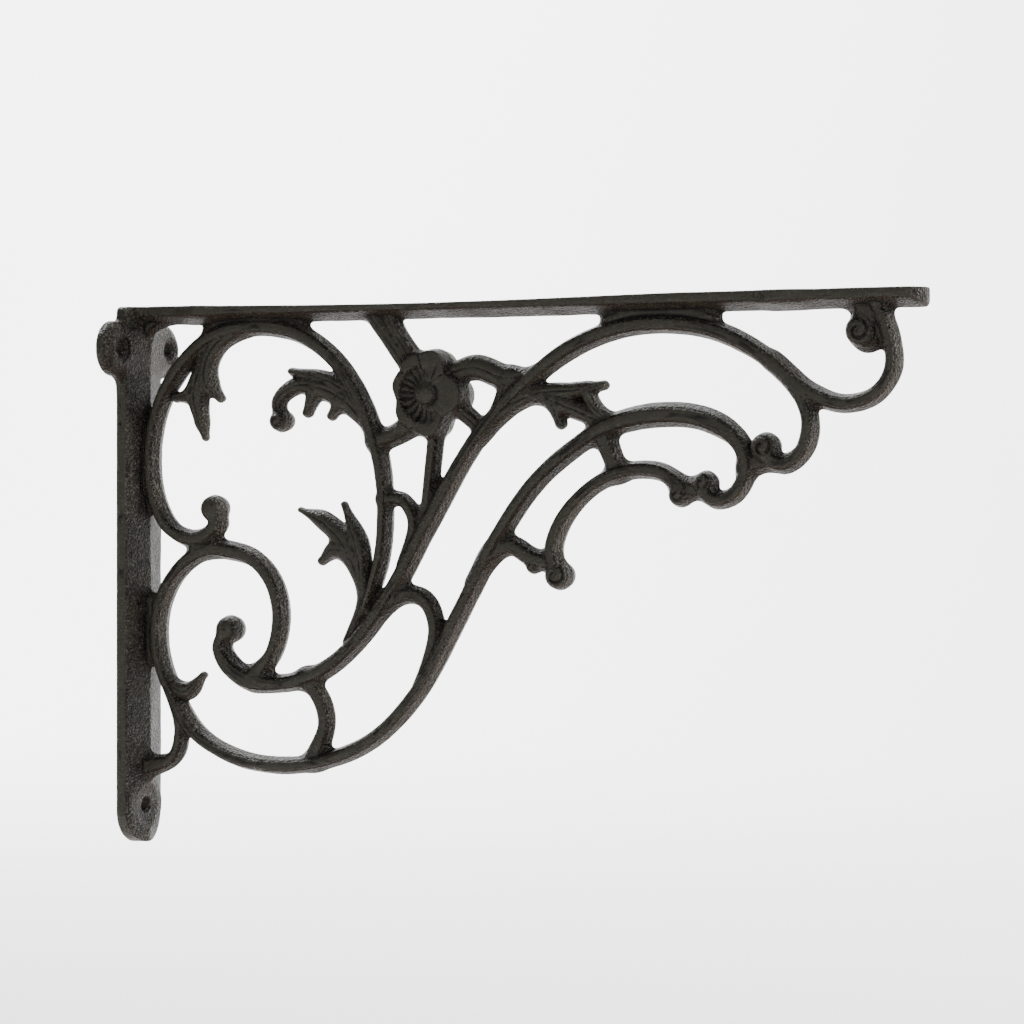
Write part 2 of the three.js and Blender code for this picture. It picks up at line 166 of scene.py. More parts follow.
# Grid on which the casting's surface is worked out
VOXEL = 0.36
MARGIN = 2.0
FAR = 9.0
BAND = 3.5
CURVE_STEP = 0.8
BEHIND_WALL = -9
ABOVE_SHELF = SHELF_Z + 9
MOST_TRIANGLES = 195000
CREASE_ANGLE = 48

# How far round a point the casting is looked at to tell a hollow from an edge,
# and the swing that counts in full
HOLLOW_REACHES = [0.55, 1.3]
HOLLOW_LEAST = 0.05
HOLLOW_SWING = 0.3

# Cast surface: waves left by the sand, from broad to fine, as [wavelength, height]
SAND_WAVES = [[9.0, 0.12], [3.4, 0.04]]
SAND_REACH = 2.0
SEED = 7

# How far the skin stays inside the solid's box
BOX_INSET = 0.03

grid_x = np.arange(-MARGIN, ARM_LENGTH + MARGIN, VOXEL, dtype=np.float32)
grid_z = np.arange(SHELF_Z - PLATE_HEIGHT - MARGIN, SHELF_Z + MARGIN, VOXEL, dtype=np.float32)
half_span = EAR_SCREW_SPACING / 2 + EAR_RADIUS + MARGIN
grid_y = np.arange(-half_span, half_span, VOXEL, dtype=np.float32)
field = np.full((len(grid_x), len(grid_z), len(grid_y)), FAR, dtype=np.float32)


def smooth_least(a, b, reach):
    """The lesser of two distances, blended where they are within reach of each other."""
    overlap = np.maximum(reach - np.abs(a - b), 0) / reach
    return np.minimum(a, b) - overlap * overlap * reach / 4


def smooth_most(a, b, reach):
    """The greater of two distances, blended in the same way."""
    return -smooth_least(-a, -b, reach)


def window(values, low, high):
    """The stretch of a grid axis between two positions."""
    start = int(np.searchsorted(values, low))
    end = int(np.searchsorted(values, high))
    return slice(max(start, 0), min(end, len(values)))


def catmull_rom(points, t):
    """A point on the centripetal curve through the points, t running from 0 to 1."""
    spans = len(points) - 1
    span = min(int(t * spans), spans - 1)
    share = t * spans - span
    p1 = points[span]
    p2 = points[span + 1]
    p0 = points[span - 1] if span > 0 else 2 * p1 - p2
    p3 = points[span + 2] if span + 2 <= spans else 2 * p2 - p1
    d0 = max(np.linalg.norm(p1 - p0) ** 0.5, 1e-4)
    d1 = max(np.linalg.norm(p2 - p1) ** 0.5, 1e-4)
    d2 = max(np.linalg.norm(p3 - p2) ** 0.5, 1e-4)
    leave = ((p1 - p0) / d0 - (p2 - p0) / (d0 + d1) + (p2 - p1) / d1) * d1
    reach = ((p2 - p1) / d1 - (p3 - p1) / (d1 + d2) + (p3 - p2) / d2) * d1
    square = share * share
    cube = square * share
    return (
        (2 * cube - 3 * square + 1) * p1
        + (cube - 2 * square + share) * leave
        + (3 * square - 2 * cube) * p2
        + (cube - square) * reach
    )


def trace(points):
    """Follows a bar's middle line closely: rows of x, z, half width."""
    centres = np.array([[x, SHELF_Z - drop] for x, drop, half in points])
    halves = [half for x, drop, half in points]
    rows = []
    spans = len(points) - 1
    for span in range(spans):
        chord = np.linalg.norm(centres[span + 1] - centres[span])
        steps = max(3, math.ceil(chord / CURVE_STEP))
        for step in range(steps):
            share = step / steps
            ease = share * share * (3 - 2 * share)
            half = halves[span] + (halves[span + 1] - halves[span]) * ease
            x, z = catmull_rom(centres, (span + share) / spans)
            rows.append([x, z, half])
    rows.append([*centres[-1], halves[-1]])
    return np.array(rows, dtype=np.float32)


def nearest_on(rows):
    """Across the side view: distance from a traced line, and its half width there."""
    widest = float(rows[:, 2].max())
    pad = widest + BAND
    wx = window(grid_x, rows[:, 0].min() - pad, rows[:, 0].max() + pad)
    wz = window(grid_z, rows[:, 1].min() - pad, rows[:, 1].max() + pad)
    xs = grid_x[wx]
    zs = grid_z[wz]
    away = np.full((len(xs), len(zs)), FAR + pad, dtype=np.float32)
    half = np.zeros_like(away)
    for start, end in zip(rows[:-1], rows[1:]):
        near_x = window(xs, min(start[0], end[0]) - pad, max(start[0], end[0]) + pad)
        near_z = window(zs, min(start[1], end[1]) - pad, max(start[1], end[1]) + pad)
        px = xs[near_x][:, None] - start[0]
        pz = zs[near_z][None, :] - start[1]
        ex = end[0] - start[0]
        ez = end[1] - start[1]
        length2 = ex * ex + ez * ez + 1e-9
        share = np.clip((px * ex + pz * ez) / length2, 0, 1)
        distance = np.sqrt((px - share * ex) ** 2 + (pz - share * ez) ** 2)
        area = (near_x, near_z)
        closer = distance < away[area]
        away[area] = np.where(closer, distance, away[area])
        half[area] = np.where(closer, start[2] + (end[2] - start[2]) * share, half[area])
    return wx, wz, away, half


def add_section(wx, wz, near, section, depth, fillet):
    """Joins a member to the casting where the side view is near it, rounder at mid depth than at its face."""
    ix, iz = np.nonzero(near)
    wy = window(grid_y, -depth - BAND, depth + BAND)
    ys = np.abs(grid_y[wy])[None, :]
    value = section(ix, iz, ys).astype(np.float32)
    gx = ix + wx.start
    gz = iz + wz.start
    old = field[gx, gz, wy]
    inward = np.clip(1 - ys / depth, 0, 1)
    field[gx, gz, wy] = smooth_least(old, value, FACE_FILLET + fillet * np.sqrt(inward))


def cut_line(body, off, ys, at_off, at_depth, radius):
    """Takes a fine round groove out of a member along its length."""
    return np.maximum(body, radius - np.sqrt((off - at_off) ** 2 + (ys - at_depth) ** 2))


def bar(depth, points):
    """A bar of the web: drafted sides, a crowned face and a fine line along each edge of it."""
    rows = trace(points)
    wx, wz, away, half = nearest_on(rows)

    def section(ix, iz, ys):
        off = away[ix, iz][:, None]
        wide = np.maximum(half[ix, iz][:, None], LEAST_HALF_WIDTH)
        face = wide * FACE_SHARE
        slope = wide - face
        side = ((off - wide) * depth + ys * slope) / np.sqrt(depth ** 2 + slope ** 2)
        body = smooth_most(side, ys - depth + CROWN * (off / face) ** 2, EDGE_ROUND)
        return cut_line(body, off, ys, face + LINE_OUT, depth - LINE_SUNK, LINE_RADIUS)

    add_section(wx, wz, away < half + BAND, section, depth, STRAND_FILLET)


def lobe(points):
    """A leaf's lobe: a crowned face that thins to the tip, with a vein cut along its middle."""
    rows = trace(points)
    wx, wz, away, half = nearest_on(rows)
    widest = float(rows[:, 2].max())

    def section(ix, iz, ys):
        off = away[ix, iz][:, None]
        wide = np.maximum(half[ix, iz][:, None], LEAST_HALF_WIDTH)
        full = LEAF_DEPTH * np.sqrt(wide / widest)
        face = wide * LEAF_FACE
        slope = wide - face
        side = ((off - wide) * full + ys * slope) / np.sqrt(full ** 2 + slope ** 2)
        body = smooth_most(side, ys - full + LEAF_CROWN * (off / face) ** 2, EDGE_ROUND)
        return cut_line(body, off, ys, 0, full + VEIN_OUT, VEIN_RADIUS)

    add_section(wx, wz, away < half + BAND, section, LEAF_DEPTH, LEAF_FILLET)


def button(x, drop, radius, depth=BUTTON_DEPTH, curled=True):
    """A ball-like button that ends a scroll; on a curled one the scroll's line winds in to its middle."""
    z = SHELF_Z - drop
    wx = window(grid_x, x - radius - BAND, x + radius + BAND)
    wz = window(grid_z, z - radius - BAND, z + radius + BAND)
    px = grid_x[wx][:, None] - x
    pz = grid_z[wz][None, :] - z
    away = np.sqrt(px ** 2 + pz ** 2)
    turn = (np.arctan2(pz + 0 * px, px + 0 * pz) / (2 * math.pi) - CURL_START / 360) % 1.0
    curl = radius * (CURL_INNER + CURL_GROWTH * turn)

    def section(ix, iz, ys):
        off = away[ix, iz][:, None]
        top = depth - BUTTON_CROWN * (off / radius) ** 2
        side = off - radius + BUTTON_DRAFT * ys
        body = smooth_most(side, ys - top, BUTTON_ROUND)
        if not curled:
            return body
        return cut_line(body, off, ys, curl[ix, iz][:, None], top - CURL_SUNK, CURL_RADIUS)

    add_section(wx, wz, away < radius + BAND, section, depth, BUTTON_FILLET)


def block_between(low, high):
    """The part of the grid between two corners, and its positions along x, y and z."""
    wx = window(grid_x, low[0], high[0])
    wy = window(grid_y, low[1], high[1])
    wz = window(grid_z, low[2], high[2])
    x = grid_x[wx][:, None, None]
    y = grid_y[wy][None, None, :]
    z = grid_z[wz][None, :, None]
    return (wx, wz, wy), x, y, z


def add_block(low, high, shape, fillet):
    """Joins a plate or boss, worked out in space, to the casting."""
    area, x, y, z = block_between(low, high)
    field[area] = smooth_least(field[area], shape(x, y, z).astype(np.float32), fillet)


def wall_plate():
    """A flat-backed plate with a low ridge down its front and a half-round foot."""
    half = PLATE_WIDTH / 2
    bottom = SHELF_Z - PLATE_HEIGHT
    fall = (PLATE_RIDGE - PLATE_EDGE) / half

    def shape(x, y, z):
        wide = np.abs(y)
        below = np.minimum(z - bottom - half, 0)
        outline = smooth_most(np.sqrt(wide ** 2 + below ** 2) - half, z - SHELF_Z, PLATE_CORNER)
        front = (x - PLATE_RIDGE + fall * wide) / math.hypot(1, fall)
        return smooth_most(front, outline, PLATE_ROUND)

    low = (BEHIND_WALL, -half - BAND, bottom - BAND)
    add_block(low, (PLATE_RIDGE + BAND, half + BAND, ABOVE_SHELF), shape, PLATE_JOIN)


def foot_pad():
    """A low round pad at the foot, under its screw."""
    centre = SHELF_Z - PLATE_HEIGHT + FOOT_SCREW_RISE
    reach = FOOT_PAD_RADIUS + BAND

    def shape(x, y, z):
        radius = np.sqrt(y ** 2 + (z - centre) ** 2)
        return smooth_most(radius - FOOT_PAD_RADIUS, x - FOOT_PAD_THICKNESS, FOOT_PAD_ROUND)

    low = (BEHIND_WALL, -reach, centre - reach)
    add_block(low, (FOOT_PAD_THICKNESS + BAND, reach, centre + reach), shape, FOOT_PAD_JOIN)


def foot_dish():
    """The plate's ridge sinks round the foot's screw hole."""
    centre = SHELF_Z - PLATE_HEIGHT + FOOT_SCREW_RISE
    low = (FOOT_PAD_THICKNESS - FOOT_DISH_LEAD, -FOOT_PAD_RADIUS, centre - FOOT_PAD_RADIUS)
    high = (PLATE_RIDGE + BAND, FOOT_PAD_RADIUS, centre + FOOT_PAD_RADIUS)
    area, x, y, z = block_between(low, high)
    radius = np.sqrt(y ** 2 + (z - centre) ** 2)
    rise = FOOT_DISH_RISE * np.maximum(radius - FOOT_DISH_RADIUS, 0) ** 2
    dish = x - FOOT_PAD_THICKNESS - rise
    field[area] = smooth_most(field[area], dish.astype(np.float32), PLATE_ROUND)


def ears():
    """A rounded bar across the plate, one screw ear at each end, low-domed in front."""
    half = EAR_SCREW_SPACING / 2

    def shape(x, y, z):
        outer = np.maximum(np.abs(y) - half, 0)
        radius = np.sqrt(outer ** 2 + z ** 2)
        dome = x - EAR_THICKNESS + (EAR_THICKNESS - EAR_RIM) * (radius / EAR_RADIUS) ** 4
        steepness = 1 + 0.5 * (radius / EAR_RADIUS) ** 3
        return smooth_most(radius - EAR_RADIUS, dome / steepness, EAR_ROUND)

    reach = half + EAR_RADIUS + BAND
    low = (BEHIND_WALL, -reach, -EAR_RADIUS - BAND)
    add_block(low, (EAR_THICKNESS + BAND, reach, EAR_RADIUS + BAND), shape, PLATE_FILLET)


def ear_necks():
    """Each ear flows into the plate's side in a hollow curve, wide below and tight above."""
    half = EAR_SCREW_SPACING / 2

    def shape(x, y, z):
        outer = np.maximum(np.abs(y) - half, 0)
        bar_across = np.sqrt(outer ** 2 + z ** 2) - EAR_RADIUS
        plate_side = np.maximum(np.abs(y) - PLATE_WIDTH / 2, z - SHELF_Z)
        fillet = np.where(z < 0, EAR_NECK_FILLET, EAR_TOP_FILLET)
        outline = smooth_least(bar_across, plate_side, fillet)
        outline = np.maximum(outline, np.abs(z) - EAR_RADIUS - fillet)
        return smooth_most(outline, x - EAR_NECK_THICKNESS, EAR_NECK_ROUND)

    reach = half + EAR_RADIUS + BAND
    tall = EAR_RADIUS + EAR_NECK_FILLET + BAND
    add_block((BEHIND_WALL, -reach, -tall), (EAR_NECK_THICKNESS + BAND, reach, tall), shape, EAR_NECK_JOIN)


def shelf_arm():
    """A flat-topped arm, ridged below and round at its tip."""
    half = ARM_WIDTH / 2
    fall = (ARM_RIDGE - ARM_EDGE) / half

    def shape(x, y, z):
        wide = np.abs(y)
        past = np.maximum(x - ARM_LENGTH + half, 0)
        outline = np.sqrt(wide ** 2 + past ** 2) - half
        under = (SHELF_Z - ARM_RIDGE + fall * wide - z) / math.hypot(1, fall)
        return smooth_most(smooth_most(under, outline, ARM_UNDER_ROUND), z - SHELF_Z, ARM_TOP_ROUND)

    low = (BEHIND_WALL, -half - BAND, SHELF_Z - ARM_RIDGE - BAND)
    add_block(low, (ARM_LENGTH + BAND, half + BAND, ABOVE_SHELF), shape, PLATE_FILLET)


def arm_boss(centre):
    """A round swelling of the arm for a screw."""
    reach = ARM_BOSS_RADIUS + BAND

    def shape(x, y, z):
        radius = np.sqrt((x - centre) ** 2 + y ** 2)
        under = SHELF_Z - ARM_BOSS_THICKNESS + ARM_BOSS_FALL * (radius / ARM_BOSS_RADIUS) ** 3 - z
        disc = smooth_most(radius - ARM_BOSS_RADIUS, under, ARM_BOSS_ROUND)
        return smooth_most(disc, z - SHELF_Z, ARM_TOP_ROUND)

    low = (centre - reach, -reach, SHELF_Z - ARM_BOSS_THICKNESS - BAND)
    add_block(low, (centre + reach, reach, ABOVE_SHELF), shape, ARM_BOSS_FILLET)


def cut_hole(low, high, measures, wide=COUNTERSINK_RADIUS, ring_line=0.0):
    """Takes a countersunk hole out of the casting; measures gives radius and depth below the hole's rim."""
    area, x, y, z = block_between(low, high)
    radius, depth = measures(x, y, z)
    slope = (wide - HOLE_RADIUS) / COUNTERSINK_DEPTH
    hole = np.clip(wide - depth * slope, HOLE_RADIUS, wide) - radius
    if ring_line > 0:
        hole = np.maximum(hole, ring_line - np.sqrt((radius - wide) ** 2 + (depth - ring_line / 2) ** 2))
    field[area] = smooth_most(field[area], hole.astype(np.float32), HOLE_ROUND)


def wall_hole(y0, z0, front, wide=COUNTERSINK_RADIUS, ring_line=0.0):
    """A screw hole through the wall plate, countersunk in front."""

    def measures(x, y, z):
        return np.sqrt((y - y0) ** 2 + (z - z0) ** 2) + 0 * x, front - x + 0 * y + 0 * z

    low = (BEHIND_WALL, y0 - HOLE_REACH, z0 - HOLE_REACH)
    cut_hole(low, (WALL_HOLE_END, y0 + HOLE_REACH, z0 + HOLE_REACH), measures, wide, ring_line)


def arm_hole(x0):
    """A screw hole through the arm, countersunk below."""
    under = SHELF_Z - ARM_BOSS_THICKNESS

    def measures(x, y, z):
        return np.sqrt((x - x0) ** 2 + y ** 2) + 0 * z, z - under + 0 * x + 0 * y

    low = (x0 - HOLE_REACH, -HOLE_REACH, under - HOLE_LEAD)
    cut_hole(low, (x0 + HOLE_REACH, HOLE_REACH, ABOVE_SHELF), measures)


# The web is drawn as [distance from the wall, drop below the shelf face, half width].


def big_ring():
    """The big ring under the arm, from its button round to where it flows into the main strand."""
    bar(RING_DEPTH, [
        [33.6, 71.6, 3.4], [35, 77, 3.9], [30.6, 81, 3.5], [24, 82, 3.3], [15.8, 78.4, 3.1], [10.2, 69.4, 3],
        [7.8, 55, 2.6], [10.8, 37, 2.9], [19.4, 22.4, 3.5], [32, 11.8, 3.5], [50, 7.8, 3.5],
        [67.5, 10.2, 3.4], [82, 19.4, 3.4], [92.6, 34, 3.5], [99.6, 52, 3.1], [102, 70, 2.8],
        [100.6, 88, 2.7], [95, 106, 1.8],
    ])
    button(33.8, 71.4, LARGE_BUTTON, curled=False)


def small_ring():
    """The small ring's top and right side, down to the volute."""
    bar(RING_DEPTH, [
        [27, 85, 2.8], [39, 86, 3.6], [50, 89, 3.3], [57.8, 97.4, 3.2], [60.6, 109, 3.1], [58, 121, 2.9],
        [51, 130, 4.2],
    ])


def lower_strand():
    """Small ring's left side, bottom arc, second arch and its button."""
    bar(STRAND_DEPTH, [
        [34, 85.4, 2.8], [24.6, 89, 3.3], [15.8, 97.6, 2.9], [11, 110, 2.7], [11.6, 124, 2.7],
        [17.2, 137.4, 2.9], [27, 150.8, 3.2], [44, 159, 3.2], [63, 160.9, 3.2], [82, 157.8, 3.1],
        [99, 149.8, 3.1], [115, 134, 3.1], [131.6, 106, 3.2], [146, 80.6, 3.3], [160, 62.2, 3.4],
        [174.6, 50.6, 3.5], [188, 43.3, 4], [206, 40, 4.3],
        [222.6, 41.8, 4.3], [233.8, 48.9, 3.6], [236.8, 58, 3.1], [232.6, 66.2, 3.2], [226, 68.2, 3.2],
        [222, 65.4, 3],
    ])
    button(222, 62.6, SMALL_BUTTON)


def main_strand():
    """Volute inside the small ring, the long S up to the arm, and the upper arch with its button."""
    bar(STRAND_DEPTH, [
        [39, 114, 3], [36.8, 120.6, 3.5], [40.8, 127, 4.3], [48.6, 131.3, 4.4], [62, 132.2, 3.4],
        [76, 128.4, 3.4], [90, 118.4, 3.5], [105, 99.8, 3.5], [120, 75, 3.3], [137.6, 47.6, 3.3],
        [154, 31, 3.4], [172, 18.1, 3.5], [190, 11.4, 3.4], [207, 9.9, 3.4], [225, 12.5, 3.5],
        [241, 20, 3.4], [253, 30.2, 3.1],
        [258.6, 42, 3], [256.6, 52, 3.2], [250, 56.4, 3.6], [244.4, 54.4, 3.6],
    ])
    button(40.1, 113.8, LARGE_BUTTON, curled=False)
    button(243.3, 50.9, LARGE_BUTTON)


def end_scroll():
    """The scroll that rises from the upper arch to the arm's tip, with its button."""
    bar(STRAND_DEPTH, [
        [246, 23, 2.6], [258.6, 33, 3.5], [271, 37, 3.2], [281.4, 34.2, 3.1], [287.2, 26, 3.1],
        [286.4, 15, 3], [282, 4, 3.2],
    ])
    bar(LINK_DEPTH, [[278.8, 15, 6], [278.8, 3, 6.2]])
    button(276.6, 13.6, TIP_BUTTON)


def third_strand():
    """Free-standing below the second arch, a button at each end, with its links."""
    bar(STRAND_DEPTH, [
        [168, 93, 3], [166.4, 84, 3], [171.6, 72.8, 3], [181.8, 63.4, 3], [194, 58.6, 3.1], [206, 59, 3.3],
        [214, 64, 3.8],
    ])
    button(168.6, 93.6, LARGE_BUTTON)
    button(213, 66.6, SMALL_BUTTON)
    bar(LINK_DEPTH, [
        [136, 96, 2.4], [142.6, 87.2, 3.8], [150.6, 83.8, 3.7], [158, 87.4, 3.6], [166, 89.6, 3.2],
    ])
    button(159, 90.4, TINY_BUTTON, LINK_DEPTH)
    bar(LINK_DEPTH, [[184, 44, 4.2], [186.8, 51, 4], [190.2, 58.6, 3.7]])
    bar(LINK_DEPTH, [[213, 65, 3.4], [222, 64.4, 3.4]])
    bar(LINK_DEPTH, [[236, 57.6, 3.6], [243, 55, 3.8]])


def links():
    """Short bars between ring, strands, arm and wall plate."""
    bar(LINK_DEPTH, [[70.6, 130, 3.4], [77, 138, 3.5], [78.8, 146, 3.3], [74.4, 158, 4.2]])
    bar(LINK_DEPTH, [
        [101, 106.4, 2.2], [110.6, 100.8, 3.5], [117.8, 102.6, 3.5], [121.8, 112, 3.1], [115.8, 131, 1.8],
    ])
    bar(LINK_DEPTH, [[101, 68, 2.4], [109, 68.4, 2.9], [113.6, 75.4, 2.8], [109.6, 90, 2.4]])
    bar(LINK_DEPTH, [[97.6, 48, 3.6], [105, 46.4, 4], [114, 41.6, 4.8]])
    bar(LINK_DEPTH, [[122.2, 40, 3.4], [120.8, 54, 3], [118, 76, 2.8]])
    bar(FILL_DEPTH, [[35, 7.4, 2.4], [46, 5, 3.4], [56, 4.8, 3.4], [68, 8, 2.4]])
    bar(FILL_DEPTH, [[186.6, 8.2, 2.3], [198, 5.8, 2.8], [212, 5.8, 2.8], [224.6, 8.2, 2.3]])
    bar(FILL_DEPTH, [[3, 13.6, 3], [6, 7.2, 3.6], [13, 3, 3]])
    bar(WALL_FILL_DEPTH, [[6, 42, 2.4], [5, 56, 2.8], [6.8, 70, 2.4]])
    bar(WALL_FILL_DEPTH, [[7.6, 104, 2.6], [6.4, 114, 3], [7.8, 124, 2.6]])
    bar(LINK_DEPTH, [[16.4, 136, 2.4], [20, 150, 2.6], [17, 159.6, 2.8], [4, 163.6, 4.4]])


def leaf(*lobes):
    """A leaf of several lobes."""
    for points in lobes:
        lobe(points)


def leaves():
    """The acanthus leaves that grow from ring, strands and arm."""
    leaf(
        [[31.6, 9.4, 3], [29.8, 19, 3.1], [26.8, 30.6, 4.6], [28.2, 40, 3.2], [29.8, 46.4, 1.5]],
        [[46, 9, 2.6], [36, 13.4, 3.6], [31.6, 20, 3.5], [31.4, 27.2, 3.8], [36, 32.6, 1.8]],
        [[26.6, 25.4, 2.4], [24, 30.8, 3.1], [18, 32.4, 1.8]],
    )
    leaf(
        [
            [97, 44, 3], [88, 34.4, 4.8], [77, 29.4, 4.4], [67.2, 28.6, 3.4], [60.2, 33.6, 3.1],
            [60.4, 40, 2.8],
        ],
        [[91, 32.4, 3], [78, 26, 2.6], [65, 23.6, 1.5]],
        [[74.8, 30, 3.4], [71.4, 38, 2]],
        [[86, 33, 3.8], [81, 39.2, 2]],
    )
    button(61, 40.8, SMALL_BUTTON)
    leaf(
        [[87, 117, 1.8], [93.6, 102, 2.8], [88, 85.2, 4.9], [78.8, 76.2, 3.9], [68.4, 71.8, 1.2]],
        [[94.2, 100, 2.6], [92, 84, 3.6], [85.8, 69.8, 1.2]],
        [[90, 87, 3.8], [82.8, 85.4, 3.7], [77.2, 89.4, 1.8]],
    )
    leaf(
        [[139, 48, 2], [150, 37.4, 3], [162, 32.4, 3.2], [175, 31.6, 3], [185, 30, 1.7]],
        [[158, 32, 3.2], [170, 36, 3.9], [188, 43.6, 2.8]],
        [[167, 35, 3.8], [169, 42.6, 2.2]],
        [[179, 31.8, 2.4], [181.6, 36.6, 2.3], [187, 41, 2]],
    )
    leaf(
        [[96.4, 3, 3.4], [102.4, 11, 3.3], [110.6, 21, 3.9]],
        [[103.4, 3, 3], [107.4, 11, 2.8], [113.6, 20, 3.2]],
    )
    leaf(
        [[126, 26, 4], [137.6, 23.4, 4.6], [149.6, 27.2, 4.6], [160.6, 25.4, 2.4]],
        [[127, 34, 3.4], [140, 44.4, 3.2]],
        [[150.4, 27, 3.8], [146.6, 37, 3.6]],
    )
    leaf([[15.6, 133.4, 2.6], [22.8, 135.8, 3.4], [29, 130.2, 1.4]])


# Flower: petals, heart, the ribbed bowl beside it, creases and seams
FLOWER_FROM_WALL = 120.3
FLOWER_DROP = 32.0
FLOWER_WIDTH = 28.4
FLOWER_HEIGHT = 31.4
PETAL_DEPTH = 5.9
PETAL_BLEND = 4.2
PETAL_DRAFT = 0.16
PETAL_SLOPE = 0.85
PETAL_ROUND = 0.7
PETAL_LIP = 0.6
PETAL_LIP_WIDTH = 2.2
HEART_RADIUS = 3.5
HEART_DEPTH = 6.6
HEART_CROWN = 1.3
HEART_SLOPE = 0.8
HEART_JOIN = 0.3
TRENCH_DEPTH = 0.8
TRENCH_OUT = 0.5
TRENCH_WIDTH = 0.8
BOWL_START = 3.8
BOWL_END = 10.4
BOWL_DEPTH = 1.5
BOWL_TURN = 0.15
BOWL_FADE = 1.1
BOWL_POWER = 0.8
RIBS = 21
RIB_DEPTH = 0.62
RIB_SWAY = 1.1
RIB_POWER = 1.5
CREASES = 17
CREASE_DEPTH = 0.35
CREASE_POWER = 10
CREASE_FADE = 11
SEAM_DEPTH = 0.5
SEAM_WIDTH = 0.5
SEAM_START = 5
SEAM_FADE = 4

# Petals as [turn from the flower's right in degrees, radius]
PETALS = [[78, 6.2], [123, 5.4], [165, 5.6], [218, 6.4], [272, 6.2], [356, 7.6]]


def petal_face(radius, angle, outline, valley):
    """Depth of the petals' face: a ribbed bowl to the left of the heart, smooth creased petals elsewhere."""
    left = np.clip(0.5 - BOWL_FADE * np.cos(angle - BOWL_TURN), 0, 1)
    across = np.clip((radius - BOWL_START) / (BOWL_END - BOWL_START), 0, 1)
    bowl = (4 * across * (1 - across)) ** BOWL_POWER
    sway = RIB_SWAY * np.sin(2 * angle + 1)
    ribs = RIB_DEPTH * (0.5 - 0.5 * np.cos(RIBS * angle + sway)) ** RIB_POWER
    face = PETAL_DEPTH - left * bowl * (BOWL_DEPTH + ribs)
    near_heart = np.clip(1.3 - radius / CREASE_FADE, 0, 1)
    crease = np.abs(np.cos(CREASES * angle / 2 + sway)) ** CREASE_POWER * near_heart
    upright = 0.2 + 0.8 * np.abs(np.sin(angle))
    face -= CREASE_DEPTH * crease * (1 - left) * upright
    trench = np.exp(-((radius - HEART_RADIUS - TRENCH_OUT) / TRENCH_WIDTH) ** 2)
    right = np.clip(0.55 + 0.45 * np.cos(angle + 0.4), 0.1, 1)
    face -= TRENCH_DEPTH * trench * right
    seam = np.exp(-(np.clip(valley, 0, FAR) / SEAM_WIDTH) ** 2)
    face -= SEAM_DEPTH * seam * np.clip((radius - SEAM_START) / SEAM_FADE, 0, 1)
    return face - PETAL_LIP * np.clip(outline / PETAL_LIP_WIDTH + 1, 0, 1) ** 2


def flower():
    """Petals joined into one wavy rosette, with a ribbed bowl and a low domed heart."""
    centre_z = SHELF_Z - FLOWER_DROP
    reach = FLOWER_HEIGHT / 2 + BAND
    wx = window(grid_x, FLOWER_FROM_WALL - reach, FLOWER_FROM_WALL + reach)
    wz = window(grid_z, centre_z - reach, centre_z + reach)
    px = grid_x[wx][:, None] - FLOWER_FROM_WALL
    pz = grid_z[wz][None, :] - centre_z
    radius = np.sqrt(px ** 2 + pz ** 2)
    angle = np.arctan2(pz + 0 * px, px + 0 * pz)
    outline = np.full(radius.shape, FAR, dtype=np.float32)
    nearest = np.full(radius.shape, FAR, dtype=np.float32)
    valley = np.full(radius.shape, FAR, dtype=np.float32)
    for turn, size in PETALS:
        along_x = math.cos(math.radians(turn)) * (FLOWER_WIDTH / 2 - size)
        along_z = math.sin(math.radians(turn)) * (FLOWER_HEIGHT / 2 - size)
        away = np.sqrt((px - along_x) ** 2 + (pz - along_z) ** 2) - size
        valley = np.where(away < nearest, nearest - away, np.minimum(valley, away - nearest))
        nearest = np.minimum(nearest, away)
        outline = smooth_least(outline, away, PETAL_BLEND)
    face = petal_face(radius, angle, outline, valley)

    def section(ix, iz, ys):
        side = outline[ix, iz][:, None] + PETAL_DRAFT * ys
        petals = smooth_most(side, (ys - face[ix, iz][:, None]) * PETAL_SLOPE, PETAL_ROUND)
        off = radius[ix, iz][:, None]
        top = ys - HEART_DEPTH + HEART_CROWN * (off / HEART_RADIUS) ** 2
        heart = np.maximum(off - HEART_RADIUS, top) * HEART_SLOPE
        return smooth_least(petals, heart, HEART_JOIN)

    add_section(wx, wz, outline < BAND, section, HEART_DEPTH, LEAF_FILLET)


def spread(lattice, positions, wavelength, axis):
    """Reads a coarse random lattice smoothly at fine grid positions, along one axis."""
    place = (positions - positions[0]) / wavelength
    low = np.floor(place).astype(int)
    share = (place - low).astype(np.float32)
    share = share * share * (3 - 2 * share)
    shape = [1, 1, 1]
    shape[axis] = len(positions)
    share = share.reshape(shape)
    return np.take(lattice, low, axis=axis) * (1 - share) + np.take(lattice, low + 1, axis=axis) * share


def add_sand_waves():
    """The uneven skin that sand leaves on a casting."""
    random = np.random.default_rng(SEED)
    near = np.abs(field) < SAND_REACH
    for wavelength, height in SAND_WAVES:
        counts = [int((len(axis) * VOXEL) / wavelength) + 3 for axis in (grid_x, grid_z, grid_y)]
        lattice = random.uniform(-1, 1, counts).astype(np.float32)
        wave = spread(lattice, grid_x, wavelength, 0)
        wave = spread(wave, grid_z, wavelength, 1)
        wave = spread(wave, grid_y, wavelength, 2)
        field[near] += height * wave[near]


